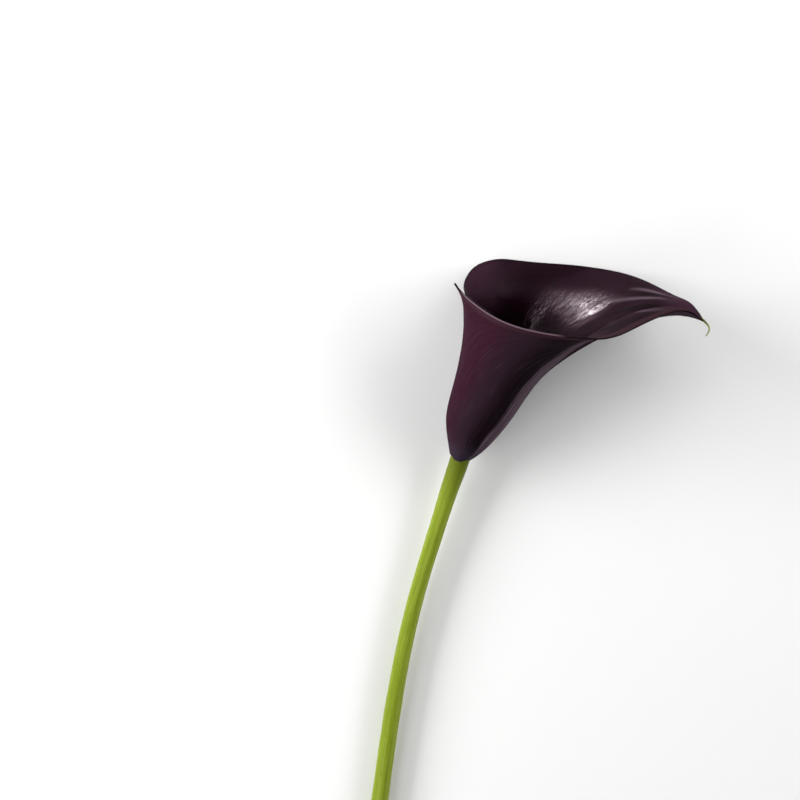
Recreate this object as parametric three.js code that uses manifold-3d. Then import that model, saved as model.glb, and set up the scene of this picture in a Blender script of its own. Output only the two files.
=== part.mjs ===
// A dark plum arum lily (calla lily), cut with its stem and laid on a table.
//
// Millimetres, +Z up. The flower lies along +Y with its mouth turned up and to +X. It touches the
// table at the cut end of the stem and at two low points of the far rim. The spathe is one sheet
// wrapped round into a funnel, with one margin inside the other.

import * as THREE from "three";
import { NURBSCurve } from "three/addons/curves/NURBSCurve.js";
import { mergeVertices } from "three/addons/utils/BufferGeometryUtils.js";
import Module from "manifold-3d";

// Where the foot of the bloom is, seen from the middle of the laid flower's box
const FOOT_X = -28.0;
const FOOT_Y = 56.4;
const FOOT_HEIGHT = 9.5;

// The stalk's line, from the cut end up to the foot of the bloom and on inside it, past the tip of
// the spadix: x, y and height
const STALK_AT_FOOT = [0.0, 0.3, 9.6];
const STALK_LINE = [
  [-40.3, -193.0, 3.3],
  [-36.6, -166.0, 3.8],
  [-33.0, -139.8, 4.2],
  [-24.6, -85.4, 5.1],
  [-17.4, -54.4, 5.8],
  [-8.8, -26.3, 6.9],
  [-4.1, -11.7, 7.9],
  STALK_AT_FOOT,
  [2.6, 9.5, 12.4],
  [7.0, 21.5, 16.4],
  [13.0, 33.5, 20.6],
  [17.2, 41.4, 23.4],
];

// Radii of the stalk: measured from the cut end, then measured back from the shoulder on which the
// bloom sits, then the neck inside the bloom
const CUT_RADIUS = 3.5;
const CUT_BEVEL = 0.3;
const STALK_BELOW = [
  { from: 50, radius: 3.5 },
  { from: 100, radius: 3.4 },
  { from: 135, radius: 3.3 },
];
const STALK_ABOVE = [
  { back: 36, radius: 3.3 },
  { back: 16, radius: 3.55 },
  { back: 5, radius: 3.95 },
  { back: 0, radius: 4.1 },
];
const SHOULDER_GAP = 0.6;
const NECK_RADIUS = 3.15;
const NECK_BEVEL = 0.3;
const NECK_LENGTH = 4.9;
const STALK_STEP = 9;
const STALK_SIDES = 20;

// The spadix stands on the neck. It is a little narrower at its seat and rounds off to a blunt tip.
const SEAT_GAP = 0.3;
const SPADIX_LENGTH = 38;
const SPADIX_RADIUS = 3.5;
const SPADIX_SEAT = { narrower: 0.14, until: 0.35 };
const SPADIX_TIP = { from: 0.45, power: 1.6, taken: 0.985 };
const FLORET_HEIGHT = 0.45;
const FLORETS_ROUND = 9;
const FLORET_ROWS = 15;
const FLORETS_SMOOTH = { until: 0.04, from: 0.93 };
const SPADIX_SIDES = 36;
const SPADIX_RINGS = 58;

// The sheet of the spathe, and the air between its two layers
const SHEET_AT_FOOT = 1.3;
const SHEET_AT_RIM = 0.95;
const LAYER_PITCH = 1.6;
const SHEET_COLUMNS = 68;
const SHEET_ROWS = 20;

// Rings of the tube from the foot up: middle, half width, half depth, lean to +X and upward tilt in
// degrees, and the share of the layer pitch that the wrap has there
const TUBE_RISE = 0.33;
const TUBE_RINGS = [
  { x: 0.0, y: 0.3, wide: 4.15, deep: 4.15, lean: 14, tilt: 13, wrap: 0 },
  { x: 2.0, y: 4.4, wide: 6.4, deep: 7.6, lean: 20, tilt: 20, wrap: 1 },
  { x: 3.4, y: 11.1, wide: 10.4, deep: 10.8, lean: 24, tilt: 20, wrap: 1 },
  { x: 10.0, y: 23.2, wide: 13.0, deep: 14.0, lean: 27, tilt: 20, wrap: 1 },
  { x: 16.2, y: 39.8, wide: 15.6, deep: 20.0, lean: 23, tilt: 20, wrap: 1 },
];

// Two more rings lie between the tube and the rim, arched most along the midrib: share of the way,
// rise everywhere, further rise at the midrib, and the angle over which that fades
const LIMB_FRAME = { lean: 27, tilt: 20 };
const LIMB_RINGS = [
  { share: 0.42, rise: 2.0, more: 12.0, fade: 42 },
  { share: 0.8, rise: 1.5, more: 9.0, fade: 40 },
];

// The rim: angle round the tube (0 at the tail, 90 at the table, -90 on top), x, y and height.
// The first two rows carry its line on past the outer margin, for the sheet below it.
const RIM = [
  [-240, 13.0, 81.3, -0.3],
  [-205, 0.8, 75.4, 11.8],
  [-183, -0.4, 68.0, 31.5],
  [-150, 4.3, 61.3, 43.5],
  [-115, 14.0, 54.5, 55.0],
  [-80, 29.0, 49.5, 60.5],
  [-50, 47.0, 47.0, 58.5],
  [-28, 63.0, 48.7, 50.8],
  [-12, 80.5, 56.5, 38.5],
  [-4, 92.9, 57.1, 30.5],
  [0, 96.8, 54.4, 28.0],
  [4, 94.4, 58.7, 26.0],
  [12, 88.1, 63.7, 20.0],
  [28, 74.5, 71.2, 8.8],
  [48, 57.5, 76.3, 1.2],
  [72, 41.5, 78.3, -1.0],
  [98, 25.2, 79.6, 0.8],
  [116, 16.0, 80.4, -1.0],
  [134, 8.2, 78.6, 2.8],
  [152, 3.4, 74.7, 11.0],
  [168, 1.0, 69.0, 21.0],
  [184, 2.1, 64.7, 31.5],
  [212, 6.0, 60.8, 43.2],
  [242, 14.6, 54.3, 51.0],
];

// Angles of the two margins, at the foot and at the rim. The margins start side by side.
const OUTER_MARGIN = { foot: -253, rim: -183 };
const INNER_MARGIN = { foot: 104, rim: 242 };
const MARGINS_PART_AT = 0.08;

// The corner of the outer margin flicks outwards
const FLICK = new THREE.Vector3(-2.6, 1.6, -1.0);
const FLICK_WIDTH = 9;

// The hooked tail, from inside the tip of the limb to its thread-like end
const TAIL_LINE = [
  [91.6, 57.0, 28.6],
  [95.0, 55.9, 28.3],
  [97.6, 53.9, 27.6],
  [99.2, 51.7, 26.4],
  [98.9, 49.8, 25.2],
  [97.9, 48.4, 24.4],
];
const TAIL_RADIUS_START = 0.75;
const TAIL_RADIUS_END = 0.32;
const TAIL_STEPS = 14;
const TAIL_SIDES = 8;

const PLUM = new THREE.MeshStandardMaterial({ color: 0x2b1822, roughness: 0.38, metalness: 0 });
const LEAF_GREEN = new THREE.MeshStandardMaterial({ color: 0x86a238, roughness: 0.45, metalness: 0 });
const DUSKY = new THREE.MeshStandardMaterial({ color: 0x54302f, roughness: 0.8, metalness: 0 });

const { degToRad, lerp, smoothstep } = THREE.MathUtils;

function curveThrough(rows) {
  return new THREE.CatmullRomCurve3(rows.map((row) => new THREE.Vector3(...row)));
}

// A natural cubic spline through rows of an angle and a point, as a function of the angle
function splineThrough(rows) {
  const last = rows.length - 1;
  const points = rows.map((row) => new THREE.Vector3(row[1], row[2], row[3]));
  const step = (k) => rows[k + 1][0] - rows[k][0];
  const slope = (k) => points[k + 1].clone().sub(points[k]).divideScalar(step(k));

  // How strongly the line bends at each row, found by elimination down the rows and back up
  const bends = points.map(() => new THREE.Vector3());
  const weights = new Array(last + 1).fill(1);
  for (let k = 1; k < last; k += 1) {
    const carried = k > 1 ? step(k - 1) / weights[k - 1] : 0;
    weights[k] = 2 * (step(k - 1) + step(k)) - carried * step(k - 1);
    bends[k] = slope(k).sub(slope(k - 1)).multiplyScalar(6).addScaledVector(bends[k - 1], -carried);
  }
  for (let k = last - 1; k > 0; k -= 1) {
    bends[k].addScaledVector(bends[k + 1], -step(k)).divideScalar(weights[k]);
  }

  return (angle) => {
    let k = 0;
    while (k < last - 1 && angle > rows[k + 1][0]) {
      k += 1;
    }
    const width = step(k);
    const before = (angle - rows[k][0]) / width;
    const after = 1 - before;
    const square = (width * width) / 6;
    return new THREE.Vector3()
      .addScaledVector(points[k], after)
      .addScaledVector(points[k + 1], before)
      .addScaledVector(bends[k], (after ** 3 - after) * square)
      .addScaledVector(bends[k + 1], (before ** 3 - before) * square);
  };
}

// Geometry with positions only and its shared corners merged
function plain(geometry) {
  geometry.deleteAttribute("normal");
  geometry.deleteAttribute("uv");
  return mergeVertices(geometry);
}

// A lathe profile of radius and length along a line, bent along that line. The relief adds height
// to the radius at an angle round the line and a length along it.
function bentLathe(profile, sides, line, relief = () => 0) {
  const geometry = new THREE.LatheGeometry(profile, sides);
  const whole = line.getLength();
  const position = geometry.getAttribute("position");
  const point = new THREE.Vector3();
  for (let i = 0; i < position.count; i += 1) {
    point.fromBufferAttribute(position, i);
    const along = point.y;
    const around = Math.atan2(point.z, point.x);
    const radius = Math.hypot(point.x, point.z);
    const share = Math.min(along / whole, 1);
    const forward = line.getTangentAt(share);
    const up = new THREE.Vector3(0, 0, 1).addScaledVector(forward, -forward.z).normalize();
    const side = up.clone().cross(forward);
    const reach = radius > 0 ? radius + relief(around, along) : 0;
    point
      .copy(line.getPointAt(share))
      .addScaledVector(up, reach * Math.cos(around))
      .addScaledVector(side, reach * Math.sin(around));
    position.setXYZ(i, point.x, point.y, Math.max(point.z, 0));
  }
  return plain(geometry);
}

const stalkLine = curveThrough(STALK_LINE);
const stepsPerRow = 60;
stalkLine.arcLengthDivisions = stepsPerRow * (STALK_LINE.length - 1);

// Lengths along the stalk's line: the foot of the bloom, the shoulder under it and the neck's top
const lengthAtFoot = stalkLine.getLengths()[stepsPerRow * STALK_LINE.indexOf(STALK_AT_FOOT)];
const shoulder = lengthAtFoot - SHOULDER_GAP;
const neckTop = shoulder + NECK_LENGTH;

// The stem: thin in its lower half, thicker under the bloom, then a neck that goes into it
function stemGeometry() {
  const profile = [
    [0, 0],
    [CUT_RADIUS - CUT_BEVEL, 0],
    [CUT_RADIUS, CUT_BEVEL],
    ...STALK_BELOW.map(({ from, radius }) => [radius, from]),
    ...STALK_ABOVE.map(({ back, radius }) => [radius, shoulder - back]),
    [NECK_RADIUS, shoulder + NECK_BEVEL],
    [NECK_RADIUS, neckTop],
    [0, neckTop],
  ];
  const points = [];
  profile.forEach(([radius, along], k) => {
    const [lastRadius, lastAlong] = profile[Math.max(k - 1, 0)];
    const parts = Math.max(1, Math.round((along - lastAlong) / STALK_STEP));
    for (let part = 1; part <= parts; part += 1) {
      const share = part / parts;
      points.push(new THREE.Vector2(lerp(lastRadius, radius, share), lerp(lastAlong, along, share)));
    }
  });
  return bentLathe(points, STALK_SIDES, stalkLine);
}

// The spadix: a blunt finger covered with florets in offset rows
function spadixGeometry() {
  const seat = neckTop + SEAT_GAP;
  const points = [new THREE.Vector2(0, seat)];
  for (let ring = 0; ring <= SPADIX_RINGS; ring += 1) {
    const share = ring / SPADIX_RINGS;
    const foot = 1 - SPADIX_SEAT.narrower * (1 - smoothstep(share, 0, SPADIX_SEAT.until));
    const towardTip = smoothstep(share, SPADIX_TIP.from, 1) ** SPADIX_TIP.power;
    const radius = SPADIX_RADIUS * foot * Math.sqrt(1 - SPADIX_TIP.taken * towardTip);
    points.push(new THREE.Vector2(radius, seat + share * SPADIX_LENGTH));
  }
  points.push(new THREE.Vector2(0, seat + SPADIX_LENGTH));
  const florets = (around, along) => {
    const share = (along - seat) / SPADIX_LENGTH;
    const nearSeat = smoothstep(share, 0, FLORETS_SMOOTH.until);
    const nearTip = 1 - smoothstep(share, FLORETS_SMOOTH.from, 1);
    const bump = Math.cos(FLORETS_ROUND * around) * Math.cos(2 * Math.PI * FLORET_ROWS * share);
    return FLORET_HEIGHT * nearSeat * nearTip * bump;
  };
  return bentLathe(points, SPADIX_SIDES, stalkLine, florets);
}

// Unit vectors of a ring: to its right, to the table and out of the tube
function ringFrame({ lean, tilt }) {
  const rise = degToRad(tilt);
  const turn = degToRad(lean);
  const down = new THREE.Vector3(0, Math.sin(rise), -Math.cos(rise));
  const out = new THREE.Vector3(0, Math.cos(rise), Math.sin(rise)).multiplyScalar(Math.cos(turn));
  out.x = Math.sin(turn);
  return { right: down.clone().cross(out), down, out };
}

const rimAt = splineThrough(RIM);
const KNOTS = [0, 0, 0, 0, 1, 2, 3, 4, 5, 5, 5, 5];

// Middle of the sheet at an angle round the tube, in degrees, and a share of the way to the rim
function sheetPoint(angle, share) {
  const around = degToRad(angle);
  const rings = TUBE_RINGS.map((ring) => {
    const { right, down } = ringFrame(ring);
    const wound = (-LAYER_PITCH * ring.wrap * angle) / 360;
    return new THREE.Vector3(ring.x, ring.y, FOOT_HEIGHT + TUBE_RISE * ring.y)
      .addScaledVector(right, (ring.wide + wound) * Math.cos(around))
      .addScaledVector(down, (ring.deep + wound) * Math.sin(around));
  });
  const throat = rings[rings.length - 1];
  const edge = rimAt(angle);
  const { out } = ringFrame(LIMB_FRAME);
  for (const { share: way, rise, more, fade } of LIMB_RINGS) {
    const arch = rise + more * Math.exp(-((angle / fade) ** 2));
    rings.push(throat.clone().lerp(edge, way).addScaledVector(out, arch));
  }
  const fromMargin = (angle - OUTER_MARGIN.rim) / FLICK_WIDTH;
  rings.push(edge.clone().addScaledVector(FLICK, Math.exp(-(fromMargin ** 2))));
  return new NURBSCurve(3, KNOTS, rings).getPoint(share);
}

// Angles of the columns at the rim, at equal steps along it
function columnAngles() {
  const steps = 4000;
  const first = OUTER_MARGIN.rim;
  const range = INNER_MARGIN.rim - first;
  const lengths = [0];
  for (let i = 1; i <= steps; i += 1) {
    const piece = rimAt(first + (range * i) / steps).distanceTo(rimAt(first + (range * (i - 1)) / steps));
    lengths.push(lengths[i - 1] + piece);
  }
  const angles = [];
  for (let column = 0; column <= SHEET_COLUMNS; column += 1) {
    const wanted = (lengths[steps] * column) / SHEET_COLUMNS;
    const i = lengths.findIndex((length) => length >= wanted);
    angles.push(first + (range * i) / steps);
  }
  return angles;
}

// Angle at a share of the way to the rim of the column that meets the rim at an angle
function columnAngle(atRim, share) {
  const spread = smoothstep(share, MARGINS_PART_AT, 1);
  const margin = atRim < 0 ? OUTER_MARGIN : INNER_MARGIN;
  return (atRim * lerp(margin.foot, margin.rim, spread)) / margin.rim;
}

// The sheet has the same triangles on both faces, joined by a strip round its edge. Where it would
// dip into the table it bends up and lies flat on it.
function sheetGeometry() {
  const angles = columnAngles();
  const rows = SHEET_ROWS + 1;
  const faceSize = angles.length * rows;
  const positions = new Float32Array(faceSize * 6);
  const small = 1e-3;
  angles.forEach((atRim, column) => {
    for (let row = 0; row < rows; row += 1) {
      const share = row / SHEET_ROWS;
      const angle = columnAngle(atRim, share);
      const middle = sheetPoint(angle, share);
      const along = sheetPoint(angle + 1, share).sub(sheetPoint(angle - 1, share));
      const upward = sheetPoint(angle, Math.min(share + small, 1));
      upward.sub(sheetPoint(angle, Math.max(share - small, 0)));
      const outward = along.cross(upward).normalize();
      const half = lerp(SHEET_AT_FOOT, SHEET_AT_RIM, share) / 2;
      const lift = Math.max(0, half * Math.abs(outward.z) - middle.z);
      for (const face of [0, 1]) {
        const corner = middle.clone().addScaledVector(outward, face === 0 ? half : -half);
        const at = (face * faceSize + column * rows + row) * 3;
        positions[at] = corner.x;
        positions[at + 1] = corner.y;
        positions[at + 2] = Math.max(corner.z + lift, 0);
      }
    }
  });

  const index = [];
  const corner = (column, row) => column * rows + row;
  for (let column = 0; column + 1 < angles.length; column += 1) {
    for (let row = 0; row < SHEET_ROWS; row += 1) {
      const a = corner(column, row);
      const b = corner(column + 1, row);
      const c = corner(column + 1, row + 1);
      const d = corner(column, row + 1);
      index.push(a, b, c, a, c, d);
      index.push(a + faceSize, c + faceSize, b + faceSize, a + faceSize, d + faceSize, c + faceSize);
    }
  }

  const border = [];
  for (let column = 0; column + 1 < angles.length; column += 1) {
    border.push(corner(column, 0));
  }
  for (let row = 0; row < SHEET_ROWS; row += 1) {
    border.push(corner(angles.length - 1, row));
  }
  for (let column = angles.length - 1; column > 0; column -= 1) {
    border.push(corner(column, SHEET_ROWS));
  }
  for (let row = SHEET_ROWS; row > 0; row -= 1) {
    border.push(corner(0, row));
  }
  border.forEach((from, k) => {
    const to = border[(k + 1) % border.length];
    index.push(from, from + faceSize, to + faceSize, from, to + faceSize, to);
  });

  const geometry = new THREE.BufferGeometry();
  geometry.setAttribute("position", new THREE.BufferAttribute(positions, 3));
  geometry.setIndex(index);
  return geometry;
}

function tailGeometry() {
  const line = curveThrough(TAIL_LINE);
  const whole = line.getLength();
  const points = [new THREE.Vector2(0, 0)];
  for (let step = 0; step <= TAIL_STEPS; step += 1) {
    const share = step / TAIL_STEPS;
    points.push(new THREE.Vector2(lerp(TAIL_RADIUS_START, TAIL_RADIUS_END, share), share * whole));
  }
  points.push(new THREE.Vector2(0, whole));
  return bentLathe(points, TAIL_SIDES, line);
}

const wasm = await Module();
wasm.setup();

function solidOf(geometry) {
  const vertProperties = Float32Array.from(geometry.getAttribute("position").array);
  const triVerts = Uint32Array.from(geometry.getIndex().array);
  return new wasm.Manifold(new wasm.Mesh({ numProp: 3, vertProperties, triVerts }));
}

function geometryOf(solid) {
  const mesh = solid.getMesh();
  const geometry = new THREE.BufferGeometry();
  geometry.setAttribute("position", new THREE.BufferAttribute(mesh.vertProperties, 3));
  geometry.setIndex(new THREE.BufferAttribute(mesh.triVerts, 1));
  return geometry;
}

function spatheGeometry() {
  return geometryOf(solidOf(sheetGeometry()).add(solidOf(tailGeometry())));
}

function piece(name, geometry, material) {
  geometry.computeVertexNormals();
  const mesh = new THREE.Mesh(geometry, material);
  mesh.name = name;
  return mesh;
}

const flower = new THREE.Group();
flower.position.set(FOOT_X, FOOT_Y, 0);
flower.add(piece("stem", stemGeometry(), LEAF_GREEN));
flower.add(piece("spathe", spatheGeometry(), PLUM));
flower.add(piece("spadix", spadixGeometry(), DUSKY));

const group = new THREE.Group();
group.add(flower);

export default group;
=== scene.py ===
"""The looks of a cut arum lily flower that lies on a table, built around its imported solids.

Shapes are worked out in millimetres, as in the solids, and become metres when a mesh is made.
"""

import math

import bpy
import numpy as np
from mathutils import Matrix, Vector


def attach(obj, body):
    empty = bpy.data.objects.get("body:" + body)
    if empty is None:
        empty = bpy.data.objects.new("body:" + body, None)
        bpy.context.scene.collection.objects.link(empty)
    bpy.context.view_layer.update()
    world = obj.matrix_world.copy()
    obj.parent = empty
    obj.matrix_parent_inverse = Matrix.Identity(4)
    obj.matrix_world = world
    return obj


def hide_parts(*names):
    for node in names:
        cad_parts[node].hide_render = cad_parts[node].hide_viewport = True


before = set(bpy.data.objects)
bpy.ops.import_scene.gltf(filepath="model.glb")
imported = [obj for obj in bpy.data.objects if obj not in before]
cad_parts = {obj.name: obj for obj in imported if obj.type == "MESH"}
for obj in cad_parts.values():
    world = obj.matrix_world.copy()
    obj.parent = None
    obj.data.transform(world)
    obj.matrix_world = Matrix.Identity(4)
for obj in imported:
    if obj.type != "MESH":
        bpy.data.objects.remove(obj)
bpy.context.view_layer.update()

# The stem
# A firm, smooth green flower stalk with fine lengthwise fibres under its skin. It was cut square
# across with a knife, and its upper end thickens into the shoulder that carries the bloom.

MM = 0.001
FOOT_OF_BLOOM = np.array([-28.0, 56.4, 0.0])

# The stalk's line, from the cut end up to the foot of the bloom and on past the spadix inside it:
# x, y and height, seen from the foot
STALK_LINE = np.array([
    (-40.3, -193.0, 3.3), (-36.6, -166.0, 3.8), (-33.0, -139.8, 4.2), (-24.6, -85.4, 5.1),
    (-17.4, -54.4, 5.8), (-8.8, -26.3, 6.9), (-4.1, -11.7, 7.9), (0.0, 0.3, 9.6),
    (2.6, 9.5, 12.4), (7.0, 21.5, 16.4), (13.0, 33.5, 20.6), (17.2, 41.4, 23.4)])
FOOT_ROW = 7

# Radii along the stalk: lengths from the cut end, then lengths back from the shoulder
CUT_RADIUS = 3.5
RADII_BELOW = [(50, 3.5), (100, 3.4), (135, 3.3)]
RADII_ABOVE = [(36, 3.3), (16, 3.55), (5, 3.95), (0, 4.1)]
RADII_EVENED_OVER = 13
SHOULDER_GAP = 0.6
NECK_RADIUS = 3.15
NECK_LENGTH = 4.9
NECK_STARTS = 0.3
NECK_FIRM_FROM = 2
NECK_EDGE = 0.2
STALK_AROUND = 64
STALK_ALONG = 300

# The cut face: its soft edge, how hollow it dries, its rings and where the innermost one lies
CUT_ROUNDING = 0.25
CUT_HOLLOW = 0.22
CUT_RINGS = 12
CUT_INNERMOST = 0.06
ROUNDING_RINGS = 4

# The skin's shallow ribs and swellings: their heights, how far each runs along the stalk, and where
# they fade out below the shoulder. The skin is drawn in under them, so that none stands too far out.
RIB_COUNT = 21
RIB_HEIGHT = 0.03
RIB_RUN = 40
SWELL_HEIGHT = 0.07
SWELL_RUN = 9
RELIEF_FADES_OVER = 8
SKIN_DRAWN_IN = 0.06

# The skin's colours are read round a cylinder of this radius, and its bump is in metres
PATTERN_RADIUS = 4
STALK_BUMP = 0.00012

# How finely a line is worked out, and after how many squares the random hills repeat
LINE_KNOTS = 2000
HILLS_REPEAT = 256


def smooth(low, high, value):
    """0 below low, 1 above high, and an even slope between them."""
    share = np.clip((value - low) / (high - low), 0, 1)
    return share * share * (3 - 2 * share)


def spline(at, points, wanted):
    """Natural cubic spline through points given at rising values, read at wanted values."""
    gaps = np.diff(at)
    slopes = np.diff(points, axis=0) / gaps[:, None]
    system = np.eye(len(at))
    bends = np.zeros_like(points)
    for k in range(1, len(at) - 1):
        system[k, k - 1:k + 2] = gaps[k - 1], 2 * (gaps[k - 1] + gaps[k]), gaps[k]
        bends[k] = 6 * (slopes[k] - slopes[k - 1])
    bends = np.linalg.solve(system, bends)
    k = np.clip(np.searchsorted(at, wanted, side="right") - 1, 0, len(at) - 2)
    width = gaps[k][..., None]
    before = ((wanted - at[k]) / gaps[k])[..., None]
    after = 1 - before
    straight = after * points[k] + before * points[k + 1]
    bow = (after**3 - after) * bends[k] + (before**3 - before) * bends[k + 1]
    return straight + bow * width**2 / 6


def unit(vectors):
    """The same directions, one long."""
    return vectors / np.linalg.norm(vectors, axis=-1, keepdims=True)


def running_sum(steps):
    """Sums of the steps so far, from 0."""
    return np.concatenate([[0], np.cumsum(steps)])


def turns(around):
    """Angles of points that stand evenly all the way round."""
    return np.linspace(0, 2 * math.pi, around, endpoint=False)


class Line:
    """A smooth line through rows of points, read by the length along it."""

    def __init__(self, rows):
        at = running_sum(np.linalg.norm(np.diff(rows, axis=0), axis=1))
        knots = np.linspace(0, at[-1], LINE_KNOTS)
        self.points = spline(at, rows, knots)
        self.lengths = running_sum(np.linalg.norm(np.diff(self.points, axis=0), axis=1))
        self.at_rows = np.interp(at, knots, self.lengths)
        self.whole = self.lengths[-1]

    def point(self, length):
        """Points at lengths along the line."""
        return np.stack([np.interp(length, self.lengths, self.points[:, k]) for k in range(3)], -1)

    def frame(self, length):
        """Forward, up and side directions at lengths along the line."""
        forward = unit(self.point(length + 0.5) - self.point(length - 0.5))
        up = unit(np.array([0.0, 0.0, 1.0]) - forward * forward[..., 2:])
        return forward, up, np.cross(up, forward)


def tube(line, lengths, radii, around):
    """Grid of points round a line: rows along it and columns round it, each at its radius."""
    _, up, side = line.frame(lengths)
    turn = turns(around)[:, None]
    across = up[:, None] * np.cos(turn) + side[:, None] * np.sin(turn)
    return line.point(lengths)[:, None] + across * radii.reshape(len(lengths), -1, 1)


def ring_faces(rows, around, first=0):
    """Four-sided faces between rows of points that go all the way round."""
    row, column = np.meshgrid(np.arange(rows - 1), np.arange(around), indexing="ij")
    nearer = first + row * around
    further = nearer + around
    beside = (column + 1) % around
    faces = np.stack([nearer + column, nearer + beside, further + beside, further + column], -1)
    return faces.reshape(-1, 4)


def tube_faces(rows, around):
    """Faces of a tube, closed by a fan round one more point in the middle of each end."""
    faces = ring_faces(rows, around).tolist()
    first_middle = rows * around
    last_ring = first_middle - around
    for k in range(around):
        beside = (k + 1) % around
        faces.append((first_middle, beside, k))
        faces.append((first_middle + 1, last_ring + k, last_ring + beside))
    return faces


def with_ends(points):
    """The grid's points in one row, and after them the middles of its first and last ring."""
    return np.concatenate([points.reshape(-1, 3), [points[0].mean(0), points[-1].mean(0)]])


def new_piece(name, points, faces, values):
    """A smooth-shaded mesh object in the row frame. values are named numbers of each point."""
    mesh = bpy.data.meshes.new(name)
    placed = (np.asarray(points) + FOOT_OF_BLOOM) * MM
    mesh.from_pydata(placed.tolist(), [], [list(face) for face in faces])
    mesh.polygons.foreach_set("use_smooth", np.ones(len(mesh.polygons), bool))
    for label, numbers in values.items():
        kind, key = ("FLOAT", "value") if np.ndim(numbers) == 1 else ("FLOAT_VECTOR", "vector")
        attribute = mesh.attributes.new(label, kind, "POINT")
        attribute.data.foreach_set(key, np.asarray(numbers, np.float32).ravel())
    mesh.update()
    piece = bpy.data.objects.new(name, mesh)
    bpy.context.scene.collection.objects.link(piece)
    return piece


def uneven(x, y, seed):
    """Smooth random hills between -1 and 1, one to a square of the x and y grid."""
    table = np.random.default_rng(seed).uniform(-1, 1, (HILLS_REPEAT, HILLS_REPEAT))
    column = np.floor(x).astype(int)
    row = np.floor(y).astype(int)
    right = smooth(0, 1, x - column)
    up = smooth(0, 1, y - row)

    def corner(dx, dy):
        return table[(column + dx) % HILLS_REPEAT, (row + dy) % HILLS_REPEAT]

    below = corner(0, 0) * (1 - right) + corner(1, 0) * right
    above = corner(0, 1) * (1 - right) + corner(1, 1) * right
    return below * (1 - up) + above * up


stalk = Line(STALK_LINE)
shoulder = stalk.at_rows[FOOT_ROW] - SHOULDER_GAP
neck_top = shoulder + NECK_LENGTH


def stem_grid():
    """Lengths of the stem's rings, the radii round each, and how many of them are on the cut face."""
    above = [(shoulder - back, radius) for back, radius in RADII_ABOVE]
    known, radii = np.array([(0, CUT_RADIUS)] + RADII_BELOW + above, float).T
    skin = np.linspace(0, shoulder, STALK_ALONG)
    radius = np.pad(np.interp(skin, known, radii), RADII_EVENED_OVER // 2, mode="edge")
    radius = np.convolve(radius, np.ones(RADII_EVENED_OVER) / RADII_EVENED_OVER, mode="valid")

    # Round the stalk the relief is read there and back, so that it joins up
    turn = turns(STALK_AROUND)
    along = skin[:, None]
    rib = np.cos(RIB_COUNT * turn) * uneven(along / RIB_RUN, np.cos(turn) * 2 + 4, seed=11)
    swell = uneven(along / SWELL_RUN, np.cos(turn) * 1.2 + 5, seed=12)
    relief = RIB_HEIGHT * rib + SWELL_HEIGHT * swell
    relief *= smooth(shoulder, shoulder - RELIEF_FADES_OVER, skin)[:, None]
    wall = radius[:, None] - SKIN_DRAWN_IN + relief

    # The cut face is a little hollow, with a soft edge where the skin curls over it
    rounding = np.linspace(0, math.pi / 2, ROUNDING_RINGS + 1)[:-1]
    face_share = np.linspace(CUT_INNERMOST, 1, CUT_RINGS)
    flat = face_share * (CUT_RADIUS - CUT_ROUNDING)
    hollow = CUT_HOLLOW * (1 - face_share**2)
    edge = CUT_RADIUS - CUT_ROUNDING * (1 - np.sin(rounding))
    start = np.concatenate([hollow, CUT_ROUNDING * (1 - np.cos(rounding))])
    start_radius = np.concatenate([flat, edge])[:, None] * (wall[0] / CUT_RADIUS)
    skin = np.concatenate([start, CUT_ROUNDING + skin[1:] * (1 - CUT_ROUNDING / shoulder)])
    wall = np.concatenate([start_radius, wall[1:]])

    # The neck stands on the shoulder, inside the foot of the bloom
    neck = np.array([
        shoulder + NECK_STARTS, shoulder + NECK_FIRM_FROM, neck_top - NECK_EDGE, neck_top])
    neck_wall = np.full((len(neck), STALK_AROUND), NECK_RADIUS)
    neck_wall[-1] -= NECK_EDGE
    return np.concatenate([skin, neck]), np.concatenate([wall, neck_wall]), len(start)


lengths, walls, cut_rings = stem_grid()
points = tube(stalk, lengths, walls, STALK_AROUND)
points[..., 2] = np.maximum(points[..., 2], 0)
turn = turns(STALK_AROUND)
skin_place = np.stack(np.broadcast_arrays(
    PATTERN_RADIUS * np.cos(turn), PATTERN_RADIUS * np.sin(turn), lengths[:, None]), -1)
on_cut = np.repeat(np.arange(len(lengths)) < cut_rings - 2, STALK_AROUND).astype(float)
share_out = np.minimum(walls / CUT_RADIUS, 1).ravel()
below_bloom = np.repeat(shoulder - lengths, STALK_AROUND)
stem = new_piece("stem_skin", with_ends(points), tube_faces(len(lengths), STALK_AROUND), {
    "place": np.concatenate([skin_place.reshape(-1, 3), [(0, 0, 0), (0, 0, neck_top)]]),
    "cut": np.concatenate([on_cut, [1, 0]]),
    "outward": np.concatenate([share_out, [0, 0]]),
    "below_bloom": np.concatenate([below_bloom, [shoulder, 0]]),
})


class Value:
    """One value in a finish. Its sums, differences and products add Math nodes there."""

    def __init__(self, finish, socket):
        self.finish = finish
        self.socket = socket

    def math(self, operation, *values):
        """A Math node on one or two values."""
        return self.finish.node("Math", {"operation": operation}, dict(enumerate(values)))

    def __add__(self, other):
        return self.math("ADD", self, other)

    def __sub__(self, other):
        return self.math("SUBTRACT", self, other)

    def __rsub__(self, other):
        return self.math("SUBTRACT", other, self)

    def __mul__(self, other):
        return self.math("MULTIPLY", self, other)

    __radd__ = __add__
    __rmul__ = __mul__


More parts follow.
